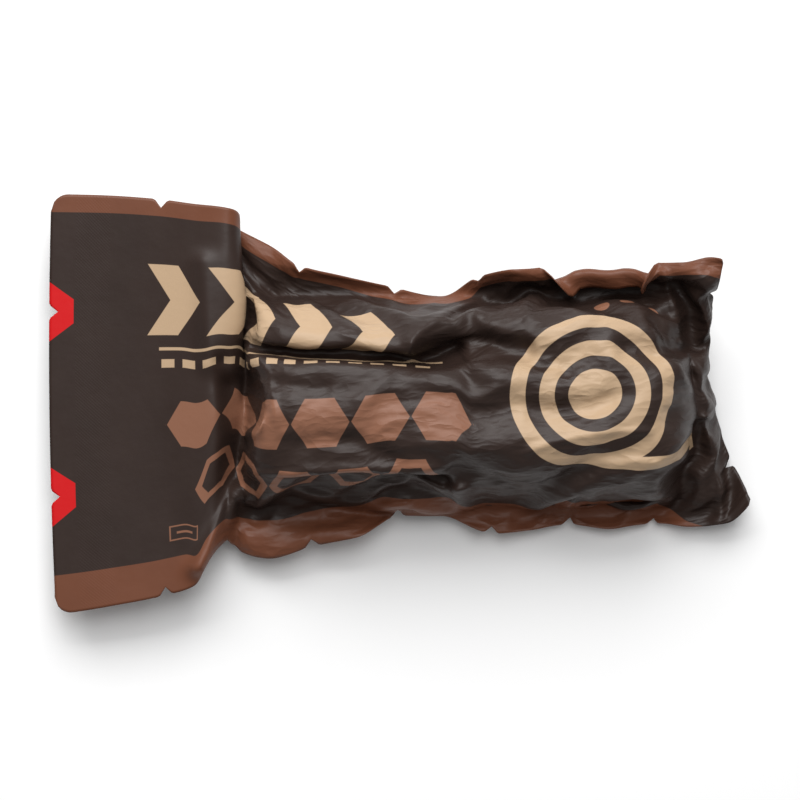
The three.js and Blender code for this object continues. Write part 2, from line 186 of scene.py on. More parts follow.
# The lines along which the film laps over the groove beside it. The film on the line's left moves
# across it: lap and width are shares of the pack's height, and only film above low moves, all of
# it above high. On the line's right the move fades out LAP_FALL times as soon.
LAP_FALL = 4
LAP_COLUMNS = ("x0", "y0", "x1", "y1", "bow", "lap", "width", "low", "high")
LAPS = {
    "upper lobe": (1.03, 0.42, 1.47, 0.34, -0.02, 0.07, 0.16, 0.68, 0.92),
    "lower tuck": (1.03, -0.52, 1.44, -0.46, 0.03, 0.035, 0.12, 0.72, 0.94),
    "flap edge": (1.014, 0.6, 0.934, 1.4, 0.0, 0.05, 0.2, 0.36, 0.5),
}

# The roll's form: how square its sides and ends are, how far its top is domed, how much shorter it
# is along its sides at the tail, and how soon the back film comes to rest under it.
SIDE_SQUARENESS = 4
END_SQUARENESS = 14
CROWN = 0.08
TAIL_TAPER = 0.2
RESTING_SHARE = 1.32
SECTION_SAMPLES = 240

PACKED_LENGTH = FLAP_LENGTH + ROLL_LENGTH + TAIL_LENGTH
BODY_HALF = ROLL_WIDTH / 2 + FIN_REACH
ZONE_STARTS = np.array([0, FLAP_LENGTH, FLAP_LENGTH + ROLL_LENGTH, PACKED_LENGTH])


def along(zone):
    """Position along the pack, from numbers that count zones."""
    return np.interp(zone, [0, 1, 2, 3], ZONE_STARTS) - PACKED_LENGTH / 2


def ramp(value, start, span):
    """0 up to the start, 1 beyond the span, and a straight rise between them."""
    return np.clip((value - start) / span, 0, 1)


def eased(share):
    """A share from 0 to 1 with a smooth start and end."""
    return share * share * (3 - 2 * share)


def section_columns():
    """The sections as real points, one array for each column."""
    table = dict(zip(SECTION_COLUMNS, np.array(SECTIONS).T))
    points = {"film": table["film"]}
    for name in ("narrow", "middle", "wide"):
        points["x_" + name] = along(table["x_" + name])
        points["z_" + name] = table["z_" + name] * PACK_HEIGHT
    for name in ("narrow", "wide"):
        half = np.where(table["x_" + name] < 1, POUCH_WIDTH / 2, BODY_HALF)
        points["y_" + name] = table["y_" + name] * half
    return points


def smooth_curve(places, values, wanted):
    """A curve through the points that never overshoots them."""
    steps = np.diff(values) / np.diff(places)
    before, after = steps[:-1], steps[1:]
    same = before * after > 0
    mean = np.where(same, 2 * before * after / np.where(same, before + after, 1), 0)
    slope = np.concatenate([steps[:1], mean, steps[-1:]])
    i = np.clip(np.searchsorted(places, wanted) - 1, 0, len(places) - 2)
    h = places[i + 1] - places[i]
    t = (wanted - places[i]) / h
    return (
        (2 * t**3 - 3 * t**2 + 1) * values[i]
        + (t**3 - 2 * t**2 + t) * h * slope[i]
        + (3 * t**2 - 2 * t**3) * values[i + 1]
        + (t**3 - t**2) * h * slope[i + 1]
    )


def through(start, middle, end, q):
    """A parabola through three values at 0, a half and 1."""
    return start * (1 - q) * (1 - 2 * q) + 4 * middle * q * (1 - q) + end * q * (2 * q - 1)


def fullness(x, y):
    """How much of the roll's half height stands at a point in plan."""
    across = np.abs(2 * y / ROLL_WIDTH)
    lengthwise = 2 * (x - along(1)) / ROLL_LENGTH - 1
    taper = 1 - TAIL_TAPER * np.minimum(across, 1) ** 2 * (lengthwise > 0)
    lengthwise = np.abs(lengthwise) / taper
    sides = np.maximum(0, 1 - across**SIDE_SQUARENESS)
    return sides * np.maximum(0, 1 - lengthwise**END_SQUARENESS)


def beside_line(line, x, y):
    """How far left of a line each point lies, how far beyond its ends, and its direction."""
    start = np.array([along(line["x0"]), line["y0"] * BODY_HALF])
    end = np.array([along(line["x1"]), line["y1"] * BODY_HALF])
    length = np.linalg.norm(end - start)
    run = (end - start) / length
    dx, dy = x - start[0], y - start[1]
    share = (dx * run[0] + dy * run[1]) / length
    side = run[0] * dy - run[1] * dx - 4 * line["bow"] * length * share * (1 - share)
    past = np.maximum(0, np.maximum(-share, share - 1)) * length
    return side, past, run


def fold_height(x, y, folds):
    """What a table of folds adds to the film's height at a point in plan."""
    total = np.zeros_like(x)
    for row in folds.values():
        fold = dict(zip(FOLD_COLUMNS, row))
        side, past, _ = beside_line(fold, x, y)
        width = fold["width"] * PACK_HEIGHT
        fade = np.exp(-((past / width) ** 2))
        ridge = fold["rise"] * np.exp(-((side / width) ** 2))
        step = fold["drop"] * (1 - np.tanh(side / (STEP_SHARE * width))) / 2
        total += fade * (ridge + step) * PACK_HEIGHT
    return total


def lapped(points):
    """The films with the edges of their folds moved over the grooves beside them."""
    points = points.copy()
    for row in LAPS.values():
        line = dict(zip(LAP_COLUMNS, row))
        side, past, run = beside_line(line, points[..., 0], points[..., 1])
        width = line["width"] * PACK_HEIGHT
        near = np.where(side > 0, width, width / LAP_FALL)
        low, high = line["low"] * PACK_HEIGHT, line["high"] * PACK_HEIGHT
        raised = ramp(points[..., 2], low, high - low)
        fade = np.exp(-((side / near) ** 2) - (past / width) ** 2)
        move = line["lap"] * PACK_HEIGHT * raised * fade
        points[..., 0] += run[1] * move
        points[..., 1] -= run[0] * move
    return points


def film_pair(section, q):
    """The middles of the front and back films across one section, and how full the pack is."""
    x = through(section["x_wide"], section["x_middle"], section["x_narrow"], q)
    y = section["y_wide"] + (section["y_narrow"] - section["y_wide"]) * q
    weld = through(section["z_wide"], section["z_middle"], section["z_narrow"], q)
    weld = np.maximum(weld + fold_height(x, y, WELD_FOLDS), WELD_FLOOR)
    full = fullness(x, y)
    top = PACK_HEIGHT - FILM_WALL
    crowned = top * (1 - CROWN * (2 * y / ROLL_WIDTH) ** 2) + fold_height(x, y, FOLDS)
    front = weld + (crowned - weld) * full
    back = weld + (BACK_FLOOR - weld) * np.minimum(1, RESTING_SHARE * full)
    return x, y, front, back, full


def snapped_lines(length, steps, fixed):
    """Grid lines along one side, moved a little so that one passes through each fixed place."""
    at = [round(place / length * steps) for place in fixed]
    return np.interp(np.arange(steps + 1), [0, *at, steps], [0, *fixed, length])


def notch_inset(position, centres):
    """How far the notches cut in from the edge at each position along it."""
    near = np.min([np.abs(position - c) for c in centres], axis=0)
    return NOTCH_DEPTH * np.maximum(0, 1 - near / (NOTCH_WIDTH / 2))


def flat_film():
    """The cut film lying flat: a grid of places with its notches and round corners."""
    end_notches = sorted(FLAP_NOTCHES + TAIL_NOTCHES)
    u0 = snapped_lines(FILM_LENGTH, STEPS_ALONG, LONG_NOTCHES)
    v0 = snapped_lines(POUCH_WIDTH, STEPS_ACROSS, end_notches)
    u, v = np.meshgrid(u0, v0, indexing="ij")
    radius = np.where(u < FILM_LENGTH / 2, CORNER_RADIUS, TAIL_CORNER_RADIUS)
    depth = np.maximum(0, radius - np.minimum(u, FILM_LENGTH - u))
    corner = radius - np.sqrt(radius**2 - depth**2)
    side = notch_inset(u, LONG_NOTCHES) + corner

    def give(distance):
        return np.maximum(0, 1 - distance / EDGE_REACH)

    flap_cut = notch_inset(v, FLAP_NOTCHES) * give(u)
    tail_cut = notch_inset(v, TAIL_NOTCHES) * give(FILM_LENGTH - u)
    cut_v = v + side * (give(v) - give(POUCH_WIDTH - v))
    return np.stack([u + flap_cut - tail_cut, cut_v], axis=-1)


def drape(flat):
    """The front and back films laid over the roll, and how full the pack is at each place."""
    columns = section_columns()
    film = columns.pop("film")

    def section_at(share):
        return {name: smooth_curve(film, column, share) for name, column in columns.items()}

    q = np.linspace(0, 1, SECTION_SAMPLES + 1)
    lines = section_at(np.linspace(0, 1, STEPS_ALONG + 1))
    even = np.zeros((STEPS_ALONG + 1, SECTION_SAMPLES + 1))
    for i in range(STEPS_ALONG + 1):
        section = {name: column[i] for name, column in lines.items()}
        x, y, front_z, back_z, _ = film_pair(section, q)
        upper = np.sqrt(np.diff(x) ** 2 + np.diff(y) ** 2 + np.diff(front_z) ** 2)
        lower = np.sqrt(np.diff(x) ** 2 + np.diff(y) ** 2 + np.diff(back_z) ** 2)
        run = np.concatenate([[0], np.cumsum((upper + lower) / 2)])
        even[i] = np.interp(np.linspace(0, run[-1], SECTION_SAMPLES + 1), run, q)
    share = flat[..., 0] / FILM_LENGTH
    row = share * STEPS_ALONG
    low = np.clip(np.floor(row).astype(int), 0, STEPS_ALONG - 1)
    column = flat[..., 1] / POUCH_WIDTH * SECTION_SAMPLES
    left = np.clip(np.floor(column).astype(int), 0, SECTION_SAMPLES - 1)
    part, rest = row - low, column - left

    def at(line):
        return even[line, left] * (1 - rest) + even[line, left + 1] * rest

    across = at(low) * (1 - part) + at(low + 1) * part
    x, y, front_z, back_z, full = film_pair(section_at(share), across)
    return np.stack([np.stack([x, y, z], axis=-1) for z in (front_z, back_z)]), full


def normals_of(points):
    """Upward normals of grids of points."""
    lengthwise = np.gradient(points, axis=-3)
    across = np.gradient(points, axis=-2)
    normal = np.cross(lengthwise, across)
    return normal / np.maximum(np.linalg.norm(normal, axis=-1, keepdims=True), TINY)


def stretch_pairs(hop):
    """Slices that pair points hop apart, in groups in which no point is met twice."""
    pairs = []
    for axis in (0, 1):
        for start in range(2 * hop):
            first = [slice(None), slice(None)]
            second = [slice(None), slice(None)]
            first[axis] = slice(start, -hop, 2 * hop)
            second[axis] = slice(start + hop, None, 2 * hop)
            pairs.append((tuple(first), tuple(second)))
    return pairs


def shear_pairs():
    """Slices that pair points across the cells' diagonals."""
    pairs = []
    left, right = slice(None, -1), slice(1, None)
    for start in (0, 1):
        rows, next_rows = slice(start, -1, 2), slice(start + 1, None, 2)
        pairs.append(((rows, left), (next_rows, right)))
        pairs.append(((rows, right), (next_rows, left)))
    return pairs


def rest_lengths(flat, form, ease, pairs):
    """The flat film's lengths, as far as they stay near those of the form."""
    found = []
    for a, b in pairs:
        cut = np.linalg.norm(flat[b] - flat[a], axis=-1)[None]
        laid = np.linalg.norm(form[(slice(None), *b)] - form[(slice(None), *a)], axis=-1)
        spare = (ease[b] + ease[a])[None] / 2
        found.append(np.clip(cut, laid * (1 - TIGHTEST), laid * (1 + spare)))
    return found


def pull(points, pairs, rest, stiffness, bend):
    """Moves each pair towards its rest length. A bend only pushes apart."""
    for (a, b), length in zip(pairs, rest):
        first, second = points[(slice(None), *a)], points[(slice(None), *b)]
        gap = second - first
        now = np.sqrt((gap**2).sum(-1)) + TINY
        change = (now - length) / now
        if bend:
            change = np.minimum(change, 0)
        move = gap * (0.5 * stiffness * change)[..., None]
        first += move
        second -= move


def refine(field):
    """A field on a grid with twice as many steps each way."""
    for axis in (1, 2):
        size = field.shape[axis]
        fine = np.repeat(field, 2, axis=axis)
        fine = np.take(fine, np.arange(2 * size - 1), axis=axis)
        ahead = np.take(field, np.arange(1, size), axis=axis)
        behind = np.take(field, np.arange(size - 1), axis=axis)
        odd = [slice(None)] * 4
        odd[axis] = slice(1, None, 2)
        fine[tuple(odd)] = (ahead + behind) / 2
        field = fine
    return field


def soften(field, times):
    """Averages a field with its four neighbours, with its border free."""
    for _ in range(times):
        p = np.pad(field, ((0, 0), (1, 1), (1, 1), (0, 0)), mode="edge")
        around = p[:, :-2, 1:-1] + p[:, 2:, 1:-1] + p[:, 1:-1, :-2] + p[:, 1:-1, 2:]
        field = field * 0.5 + around * 0.125
    return field


# How freely the film grows back to its flat lengths in each part of the pouch, and where each part
# gives way to the next: from and over which share of the flap's length, of the film's length, or of
# the fade beside the fins. A length may shrink by TIGHTEST at most.
EASE = {"flap": 0.03, "roll": 1.0, "fins": 0.7, "tail": 0.5}
EASE_PAST_FLAP = (1.05, 0.25)
EASE_TO_TAIL = (0.86, 0.08)
FIN_FADE = 25 * MM
FIN_START = 0.4
TIGHTEST = 0.06

# One row for each grid that the solver works on: the step between its points, rounds, growth over
# the shape at its start, bending stiffness, seeded roughness, and how firmly the pouch's edge keeps
# its place.
SOLVER_COLUMNS = ("hop", "rounds", "growth", "bending", "roughness", "rim")
SOLVER = [
    (8, 400, 0.04, 0.3, 2.4 * MM, 0.8),
    (4, 300, 0.14, 0.2, 2.0 * MM, 0.6),
    (2, 100, 0.05, 0.1, 0.5 * MM, 0.4),
    (1, 40, 0.005, 0.05, 0.05 * MM, 0.2),
]
SOLVER_SEED = 7
STRETCH_STIFFNESS = 0.9
SHEAR_STIFFNESS = 0.4
OUTWARD = np.array([1.0, -1.0])[:, None, None, None]

# Where the pack is less full than this, the two films are welded together.
WELDED_BELOW = 0.02

# How far the film may slide along the draped form, and buckle into it and out of it.
SLIDE = 5 * MM
BUCKLE_IN = 3 * MM
BUCKLE_OUT = 9 * MM

# What draws the film back in each round: the vacuum, the flap's stiff seal, which fades out towards
# the roll as shares of the flap's length, and the pouch's edge over a narrow rim.
SUCTION = 0.004
FLAP_HOLD = 0.2
FLAP_HOLD_FADE = (0.75, 0.2)
RIM_WIDTH = 3 * MM


def ease_field(cut):
    """How freely the film grows back to its flat lengths at each place."""
    u, v = cut[..., 0], cut[..., 1]
    edge = np.minimum(v, POUCH_WIDTH - v)
    inner = np.clip(edge / FIN_FADE - FIN_START, 0, 1)
    field = EASE["fins"] + (EASE["roll"] - EASE["fins"]) * inner
    start, span = EASE_TO_TAIL
    field = field + (EASE["tail"] - field) * ramp(u, start * FILM_LENGTH, span * FILM_LENGTH)
    start, span = EASE_PAST_FLAP
    body = ramp(u, start * FLAP_LENGTH, span * FLAP_LENGTH)
    return EASE["flap"] + (field - EASE["flap"]) * body


def hold_strength(cut, rim_hold):
    """How firmly each point is drawn back to where its stage began, in one round."""
    u, v = cut[..., 0], cut[..., 1]
    start, span = FLAP_HOLD_FADE
    flap = 1 - ramp(u, start * FLAP_LENGTH, span * FLAP_LENGTH)
    edge = np.minimum(np.minimum(v, POUCH_WIDTH - v), FILM_LENGTH - u)
    rim = 1 - ramp(edge, 0, RIM_WIDTH)
    return np.maximum(SUCTION + FLAP_HOLD * flap, rim_hold * rim)[None, ..., None]


def kept_near(away, normal, welded):
    """Moves away from the draped form, as far as the film may slide and buckle."""
    out = (away * normal).sum(-1, keepdims=True)
    slide = away - out * normal
    reach = np.linalg.norm(slide, axis=-1, keepdims=True)
    slide *= np.minimum(1, SLIDE / np.maximum(reach, TINY))
    out = np.clip(out, np.where(welded, -BUCKLE_OUT, -BUCKLE_IN), BUCKLE_OUT)
    away = slide + out * normal
    return np.where(welded, away.mean(axis=0, keepdims=True), away)


def settle(flat, form, full):
    """The films with their flat lengths back: they slide, and buckle where they are too long."""
    random = np.random.default_rng(SOLVER_SEED)
    drift = np.zeros((2, STEPS_ALONG // COARSEST + 1, STEPS_ACROSS // COARSEST + 1, 3))
    for row in SOLVER:
        stage = dict(zip(SOLVER_COLUMNS, row))
        hop = stage["hop"]
        grid = (slice(None), slice(None, None, hop), slice(None, None, hop))
        base, cut, swell = form[grid], flat[grid[1:]], full[grid[1:]]
        normal = normals_of(base) * OUTWARD
        welded = (swell < WELDED_BELOW)[None, ..., None]
        held = hold_strength(cut, stage["rim"])
        while drift.shape[1] < base.shape[1]:
            drift = soften(refine(drift), 2)
        noise = soften(random.normal(size=(2, *cut.shape[:2], 1)), 1) * stage["roughness"]
        noise = np.where(welded, noise[:1], noise)
        begun = base + drift
        points = begun + normal * noise
        ease = ease_field(cut) * stage["growth"]
        springs = []
        for pairs, stiffness, bend in (
            (stretch_pairs(1), STRETCH_STIFFNESS, False),
            (shear_pairs(), SHEAR_STIFFNESS, False),
            (stretch_pairs(2), stage["bending"], True),
        ):
            springs.append((pairs, rest_lengths(cut, begun, ease, pairs), stiffness, bend))
        for _ in range(stage["rounds"]):
            for spring in springs:
                pull(points, *spring)
            points = points + (begun - points) * held
            points = base + kept_near(points - base, normal, welded)
            points[..., 2] = np.maximum(points[..., 2], FILM_FLOOR)
        drift = points - base
    return form + drift


# The fine creases pressed into the film, one row for each size: their pitch along and across their
# slant, the slant itself, how high their crests stand, and the seed of their places.
CREASE_COLUMNS = ("long", "short", "slant", "height", "seed")
CREASES = [
    (34 * MM, 13 * MM, math.radians(20), 1.7 * MM, 3),
    (18 * MM, 7 * MM, math.radians(32), 0.6 * MM, 4),
]
CREST_ROUNDING = 0.06
FINER_SHARE = 0.4
BACK_SEED_STEP = 20

# Some patches of the film are more creased than others. The creases start beyond the flap, at
# shares of its length, and are lower near the edges and shared where the pack is thin.
PATCH_LENGTH = 40 * MM
PATCH_WIDTH = 30 * MM
CREASES_PAST_FLAP = (1.02, 0.2)
CALM_EDGE = 12 * MM
CALMEST = 0.25
SHARED_BELOW = 0.15


def smooth_noise(random, p, q):
    """A smooth field with random values at whole numbers of p and q."""
    p, q = p - p.min(), q - q.min()
    values = random.uniform(-1, 1, size=(int(p.max()) + 2, int(q.max()) + 2))
    i, j = p.astype(int), q.astype(int)
    a, b = eased(p - i), eased(q - j)
    low = values[i, j] * (1 - b) + values[i, j + 1] * b
    high = values[i + 1, j] * (1 - b) + values[i + 1, j + 1] * b
    return low * (1 - a) + high * a


def crest_height(flat, side):
    """Fine creases on the front film (0) or the back film (1): narrow crests, smooth between."""
    u, v = flat[..., 0], flat[..., 1]
    total = np.zeros(u.shape)
    for row in CREASES:
        crease = dict(zip(CREASE_COLUMNS, row))
        random = np.random.default_rng(crease["seed"] + BACK_SEED_STEP * side)
        run = u * math.cos(crease["slant"]) + v * math.sin(crease["slant"])
        across = v * math.cos(crease["slant"]) - u * math.sin(crease["slant"])
        wave = smooth_noise(random, run / crease["long"], across / crease["short"])
        finer = smooth_noise(random, 2 * run / crease["long"], 2 * across / crease["short"])
        wave += FINER_SHARE * finer
        patch = 0.5 + 0.5 * smooth_noise(random, u / PATCH_LENGTH, v / PATCH_WIDTH)
        total -= crease["height"] * patch * np.sqrt(wave**2 + CREST_ROUNDING**2)
    start, span = CREASES_PAST_FLAP
    return total * ramp(u, start * FLAP_LENGTH, span * FLAP_LENGTH)


def creased(points, flat, full):
    """The films with their fine creases and pressed folds, which the two share at the weld."""
    outward = normals_of(points) * OUTWARD
    edge = np.minimum(flat[..., 1], POUCH_WIDTH - flat[..., 1])
    calm = np.clip(edge / CALM_EDGE, CALMEST, 1)[..., None]
    apart = ramp(full, 0, SHARED_BELOW)[..., None]
    front, back = (outward[side] * crest_height(flat, side)[..., None] * calm for side in (0, 1))
    front[..., 2] += fold_height(points[0, ..., 0], points[0, ..., 1], PRESSED_FOLDS)
    return points + np.stack([front, front * (1 - apart) + back * apart])


# The stretch of the narrow edge that is turned over: from and to along the film, over what length
# the turn grows, how wide the strip is, and how far and how tightly it turns. Up to CURL_BLEND the
# strip keeps some of its own form.
CURL_START = 194 * MM
CURL_END = 236 * MM
CURL_EASE = 9 * MM
CURL_REACH = 9.5 * MM
CURL_TURN = math.radians(165)
CURL_RADIUS = 1.5 * MM
CURL_BLEND = math.radians(30)
CURL_SMOOTHING = 30
HINGE_STEPS = 3


def curled(points, flat):
    """The films with one stretch of their narrow edge turned over towards the roll."""
    hinge = int(np.searchsorted(flat[0, :, 1], POUCH_WIDTH - CURL_REACH))
    u = flat[:, hinge, 0]
    turn = CURL_TURN * eased(ramp(np.minimum(u - CURL_START, CURL_END - u), 0, CURL_EASE))
    strip = points[0, :, hinge:]
    start = strip[:, :1]
    inner = points[0, :, hinge - HINGE_STEPS : hinge - HINGE_STEPS + 1]
    out = soften((start - inner)[None], CURL_SMOOTHING)[0]
    out /= np.linalg.norm(out, axis=-1, keepdims=True)
    lengthwise = soften(np.gradient(start, axis=0)[None], CURL_SMOOTHING)[0]
    up = np.cross(lengthwise, out)
    up /= np.linalg.norm(up, axis=-1, keepdims=True)
    run = (flat[:, hinge:, 1] - flat[:, hinge : hinge + 1, 1])[..., None]
    angle = np.minimum(run / CURL_RADIUS, turn[:, None, None])
    rest = np.maximum(0, run - angle * CURL_RADIUS)
    ahead = CURL_RADIUS * np.sin(angle) + rest * np.cos(angle)
    above = CURL_RADIUS * (1 - np.cos(angle)) + rest * np.sin(angle)
    rolled = start + out * ahead + up * above
    points = points.copy()
    points[:, :, hinge:] += (rolled - strip) * ramp(turn, 0, CURL_BLEND)[:, None, None]
    return points


def grid_mesh(name, upper, lower, flat):
    """A closed mesh between two grids, with the flat film's places as its UV map."""
    rows, columns = upper.shape[:2]
    count = rows * columns
    index = np.arange(count).reshape(rows, columns)
    a, b, c, d = index[:-1, :-1], index[1:, :-1], index[1:, 1:], index[:-1, 1:]
    top = np.stack([a, b, c, d], axis=-1).reshape(-1, 4)
    bottom = np.stack([a, d, c, b], axis=-1).reshape(-1, 4) + count
    border = np.concatenate([index[:, 0], index[-1, 1:], index[-2::-1, -1], index[0, -2:0:-1]])
    after = np.roll(border, -1)
    rim = np.stack([after, border, border + count, after + count], axis=-1)
    faces = np.concatenate([top, bottom, rim])
    points = np.concatenate([upper.reshape(-1, 3), lower.reshape(-1, 3)])
    mesh = bpy.data.meshes.new(name)
    mesh.from_pydata(points.tolist(), [], faces.tolist())
    places = np.concatenate([flat.reshape(-1, 2)] * 2)
    uv = mesh.uv_layers.new(name="flat_film")
    corners = np.zeros(len(mesh.loops), np.int32)
    mesh.loops.foreach_get("vertex_index", corners)
    uv.data.foreach_set("uv", places[corners].ravel())
    mesh.polygons.foreach_set("use_smooth", np.ones(len(mesh.polygons), bool))
    mesh.update()
    piece = bpy.data.objects.new(name, mesh)
    bpy.context.scene.collection.objects.link(piece)
    return piece


def film_points():
    """The middle of each film over the middle of the floor, and its places on the flat film."""
    flat = flat_film()
    form, full = drape(flat)
    low, high = form.min(axis=(0, 1, 2)), form.max(axis=(0, 1, 2))
    form[..., :2] -= ((low + high) / 2)[:2]
    settled = settle(flat, form, full)
    points = curled(lapped(creased(settled, flat, full)), flat)
    points[..., 2] = np.maximum(points[..., 2], FILM_FLOOR)
    return points, flat


def build_films(points, flat):
    """The two films as thin closed sheets on either side of the weld's gap."""
    normal = normals_of(points)
    near, far = normal * (WELD_GAP / 2), normal * (WELD_GAP / 2 + FILM_WALL)
    front = grid_mesh("printed_front_film", points[0] + far[0], points[0] + near[0], flat)
    back = grid_mesh("plain_back_film", points[1] - near[1], points[1] - far[1], flat)
    return front, back


# The bandage inside, wound up flat with its turns' ends showing.
ROLL_START = -45 * MM
ROLL_END = 86 * MM
ROLL_HALF = 30 * MM
ROLL_TURNS = 9
TURN_POINTS = 72
ROLL_STEPS = 30
ROLL_SQUARENESS = 2.6
CORE_SHARE = 0.1
INNERMOST_SHARE = 0.01
STRIP_SHARE = 0.84
ROLL_CLEARANCE = 0.8 * MM
ROLL_THINNEST = 0.2 * MM

# The cells of the maps of the room inside the films: their size, how many stand round the films,
# and over how many the narrowest place spreads.
HEIGHT_CELL = 1.5 * MM
MARGIN_CELLS = 4
SPREAD_CELLS = 2


def height_map(points, pick, empty):
    """The lowest or highest place of a film over each small square of the floor and round it."""
    corner = points[..., :2].min(axis=(0, 1)) - MARGIN_CELLS * HEIGHT_CELL
    size = points[..., :2].max(axis=(0, 1)) + MARGIN_CELLS * HEIGHT_CELL - corner
    cells = np.full(np.ceil(size / HEIGHT_CELL).astype(int), empty)
    at = np.floor((points[..., :2] - corner) / HEIGHT_CELL).astype(int)
    pick.at(cells, (at[..., 0], at[..., 1]), points[..., 2])
    for _ in range(SPREAD_CELLS):
        rolled = [np.roll(cells, move, axis=axis) for move in (-1, 1) for axis in (0, 1)]
        cells = pick.reduce([cells, *rolled])
    return corner, cells


def build_roll(points):
    """The wound bandage: a spiral strip that fills the room between the films."""
    ceiling = height_map(points[0], np.minimum, np.inf)
    ground = height_map(points[1], np.maximum, -np.inf)
    turn = np.linspace(0, ROLL_TURNS, ROLL_TURNS * TURN_POINTS + 1)
    angle = 2 * math.pi * turn
    radius = CORE_SHARE + (1 - CORE_SHARE) * turn / ROLL_TURNS
    pitch = (1 - CORE_SHARE) / ROLL_TURNS
    rings = np.stack([radius, np.maximum(radius - pitch * STRIP_SHARE, INNERMOST_SHARE)])
    power = 2 / ROLL_SQUARENESS
    out = rings * np.sign(np.cos(angle)) * np.abs(np.cos(angle)) ** power
    up = rings * np.sign(np.sin(angle)) * np.abs(np.sin(angle)) ** power
    x = np.linspace(ROLL_START, ROLL_END, ROLL_STEPS + 1)[:, None, None]
    y = np.broadcast_to(out * ROLL_HALF, (ROLL_STEPS + 1, *out.shape))
    x = np.broadcast_to(x, y.shape)

    def read(corner, cells):
        i = np.floor((x - corner[0]) / HEIGHT_CELL).astype(int)
        j = np.floor((y - corner[1]) / HEIGHT_CELL).astype(int)
        return cells[i, j]

    top = read(*ceiling) - ROLL_CLEARANCE
    bottom = read(*ground) + ROLL_CLEARANCE
    z = (top + bottom) / 2 + np.maximum(top - bottom, ROLL_THINNEST) / 2 * up
    strip = np.stack([x, y, z], axis=-1)
    flat = np.stack([x[:, 0], x[:, 0] * 0], axis=-1)
    return grid_mesh("wound_bandage", strip[:, 0], strip[:, 1], flat)


class Field:
    """A number at every point of a surface, worked out by shader nodes."""

    def __init__(self, tree, socket):
        self.tree = tree
        self.socket = socket

    def node(self, operation, *others, clamp=False):
        math_node = self.tree.nodes.new("ShaderNodeMath")
        math_node.operation = operation
        math_node.use_clamp = clamp
        for entry, value in zip(math_node.inputs, (self, *others)):
            if isinstance(value, Field):
                self.tree.links.new(value.socket, entry)
            else:
                entry.default_value = value
        return Field(self.tree, math_node.outputs[0])

    def __add__(self, other):
        return self.node("ADD", other)

    def __sub__(self, other):
        return self.node("SUBTRACT", other)

    def __mul__(self, other):
        return self.node("MULTIPLY", other)

    def __abs__(self):
        return self.node("ABSOLUTE")

    def __neg__(self):
        return self.node("MULTIPLY", -1)

    def least(self, *others):
        found = self
        for other in others:
            found = found.node("MINIMUM", other)
        return found

    def most(self, *others):
        found = self
        for other in others:
            found = found.node("MAXIMUM", other)
        return found

    def repeated(self, pitch):
        """Distance from the nearest of a row of places, with its sign."""
        return self.node("WRAP", pitch / 2, -pitch / 2)

    def far(self, other):
        """Distance from a point, with this and another field as its two coordinates."""
        return (self * self + other * other).node("SQRT")

    def ramp(self, start, span):
        """0 up to the start, 1 beyond the span, and a straight rise between them."""
        return ((self - start) * (1 / span)).node("ADD", 0, clamp=True)

    def inside(self, blur):
        """1 where this distance is below 0 and 0 where it is above, over a narrow blur."""
        return (self * (-1 / blur) + 0.5).node("ADD", 0, clamp=True)


# The print, in millimetres on the flat film: u runs from the flap's free edge, and v from the wide
# band's edge. An area is a rectangle's middle and its half size.
BLUR = 0.22
WIDE_BAND = 13
FRONT_NARROW_BAND = 6
BACK_NARROW_BAND = 10.5

# Towards the tail the wide band grows slimmer and the narrow band wider: where that starts, its
# length, and by how much. The wide band's slimming is painted shade. The band runs on to the
# tail's low corner, turned down into shade, and the dark film colour painted in its place stands
# for that shade.
WIDE_BAND_SHADE_TAPER = (224, 24, 13.5)
NARROW_BAND_FLARE = (244, 18, 4)

# The tear marks: how far they reach in, their half width at the edge, and how fast they narrow.
TEAR_REACH = 8.3
TEAR_HALF = 10
TEAR_SLOPE = 0.72

# The tan design: a row of arrowheads that point to the tail, a thin line and short dashes under
# them, and rings with a strip that leaves them at the bottom, for the wound roll.
ARROW_AREA = ((83.75, 105), (50.75, 12.5))
ARROW_FIRST = 46
ARROW_PITCH = 20.5
ARROW_HALF = 5.2
ARROW_LEAN = 0.62
LINE_AREA = ((92, 87.6), (55, 0.55))
DASH_AREA = ((90.5, 82.4), (53, 1.5))
DASH_FIRST = 40
DASH_PITCH = 7.2
DASH_HALF = 2.2
RING_MIDDLE = (196, 70)
RING_FIRST = 6.2
RING_PITCH = 9.4
RING_HALF = 2.5
RING_CORE = 4.2
RINGS_REACH = 31
STRIP_AREA = ((215, 45), (20, 2.5))
STRIP_END_AREA = ((236, 45), (1.2, 5.4))

# The brown design: two rows of hexagons, the lower one in outline, three dots, and a label box
# with a short line.
HEXAGON_PITCH = 19.5
HEXAGON_REACH = 8.2
HEXAGON_LINE = 2.6
HEXAGON_TILT = math.radians(30)
UPPER_FIRST = 49
UPPER_AREA = ((97.8, 60.5), (58.8, 10))
LOWER_FIRST = 58.75
LOWER_AREA = ((97.75, 37.5), (48.8, 10))
DOT_FIRST = 206
DOT_PITCH = 9
DOT_RADIUS = 2.6
DOT_AREA = ((215, 108.5), (13.4, 4))
LABEL_AREA = ((45, 21.5), (5.6, 2.7))
LABEL_LINE = 0.5
LABEL_DASH_AREA = ((45, 21.5), (3, 0.4))

FILM_DARK = (0.022, 0.0125, 0.0095)
FILM_LIGHT = (0.034, 0.0205, 0.0165)
BAND_DARK = (0.122, 0.042, 0.021)
BAND_LIGHT = (0.162, 0.059, 0.031)
BROWN_INK = (0.235, 0.105, 0.062)
TAN_INK = (0.46, 0.32, 0.2)
RED_INK = (0.54, 0.005, 0.007)
BROWN_COVER = 0.94
TAN_COVER = 0.97
KNIT_COLOR = (0.62, 0.54, 0.42)
KNIT_ROUGHNESS = 0.95


def box(u, v, area):
    """Distance to a rectangle's edges."""
    middle, half = area
    return (abs(u - middle[0]) - half[0]).most(abs(v - middle[1]) - half[1])


